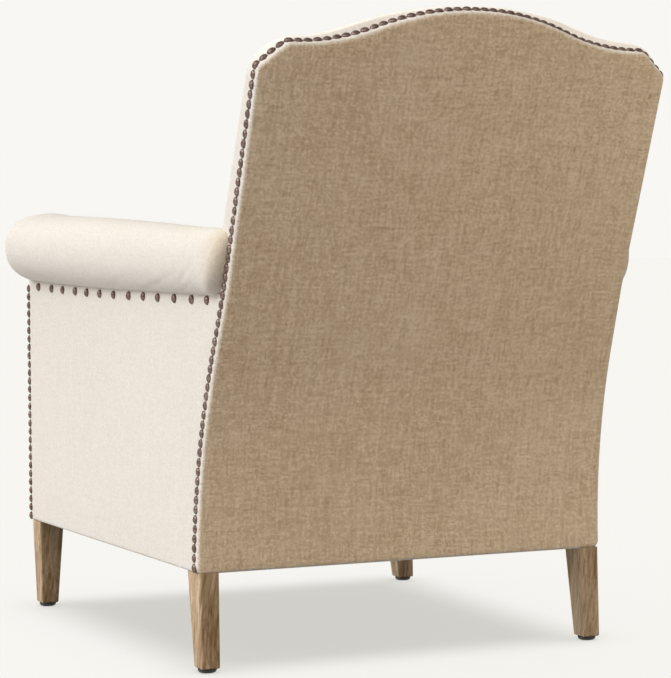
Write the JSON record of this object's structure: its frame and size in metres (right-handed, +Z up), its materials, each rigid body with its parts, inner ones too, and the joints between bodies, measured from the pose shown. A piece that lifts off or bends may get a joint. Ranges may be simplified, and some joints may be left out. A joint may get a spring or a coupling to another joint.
{
  "type": "club chair",
  "caption": "Camel-back upholstered club chair with rolled arms, raked back, nail-head trim, loose seat cushion and tapered wooden legs.",
  "frame": {"origin": "on the floor, midway between the sides and midway along the overall depth", "axes": "+X towards the sitter's left, -Y the way the sitter faces, +Z up"},
  "size_m": [0.772, 0.9831, 0.9184],
  "materials": {
    "linen": "natural plain-weave linen",
    "linen_back": "plain-weave linen, warm flax tone",
    "deck_cloth": "plain cotton deck cloth",
    "cambric": "black cambric",
    "webbing": "jute webbing",
    "oak": "weathered oak, waxed",
    "frame_wood": "kiln-dried hardwood, bare",
    "nail_bronze": "antique bronze, satin",
    "steel_wire": "black annealed steel",
    "glide": "black moulded glide"
  },
  "bodies": {
    "root": {"arm_front_left": "linen", "arm_front_right": "linen", "arm_pad_left": "linen", "arm_pad_right": "linen", "arm_rail_left": "frame_wood", "arm_rail_right": "frame_wood", "arm_stump_left": "frame_wood", "arm_stump_right": "frame_wood", "back_border": "linen", "back_lower_rail": "frame_wood", "back_post_left": "frame_wood", "back_post_right": "frame_wood", "back_webbing": "webbing", "corner_blocks": "frame_wood", "crest_rail": "frame_wood", "dust_cover": "cambric", "front_border": "linen", "front_leg_left": "oak", "front_leg_right": "oak", "front_seat_rail": "frame_wood", "inside_back": "linen", "leg_bolts": "steel_wire", "leg_glides": "glide", "nails_arm_left": "nail_bronze", "nails_arm_right": "nail_bronze", "nails_back": "nail_bronze", "nails_front_left": "nail_bronze", "nails_front_right": "nail_bronze", "outside_arm_left": "linen", "outside_arm_right": "linen", "outside_back": "linen_back", "rear_leg_left": "oak", "rear_leg_right": "oak", "rear_seat_rail": "frame_wood", "seat_deck": "deck_cloth", "seat_springs": "steel_wire", "side_seat_rail_left": "frame_wood", "side_seat_rail_right": "frame_wood", "spring_clips": "steel_wire"},
    "cushion": {"cushion_welts": "linen", "seat_cushion": "linen"}
  },
  "joints": [
    {"name": "cushion_slide", "type": "slide", "parent": "root", "child": "cushion", "axis": [0, -1, 0], "range_m": [0, 0.45]}
  ]
}
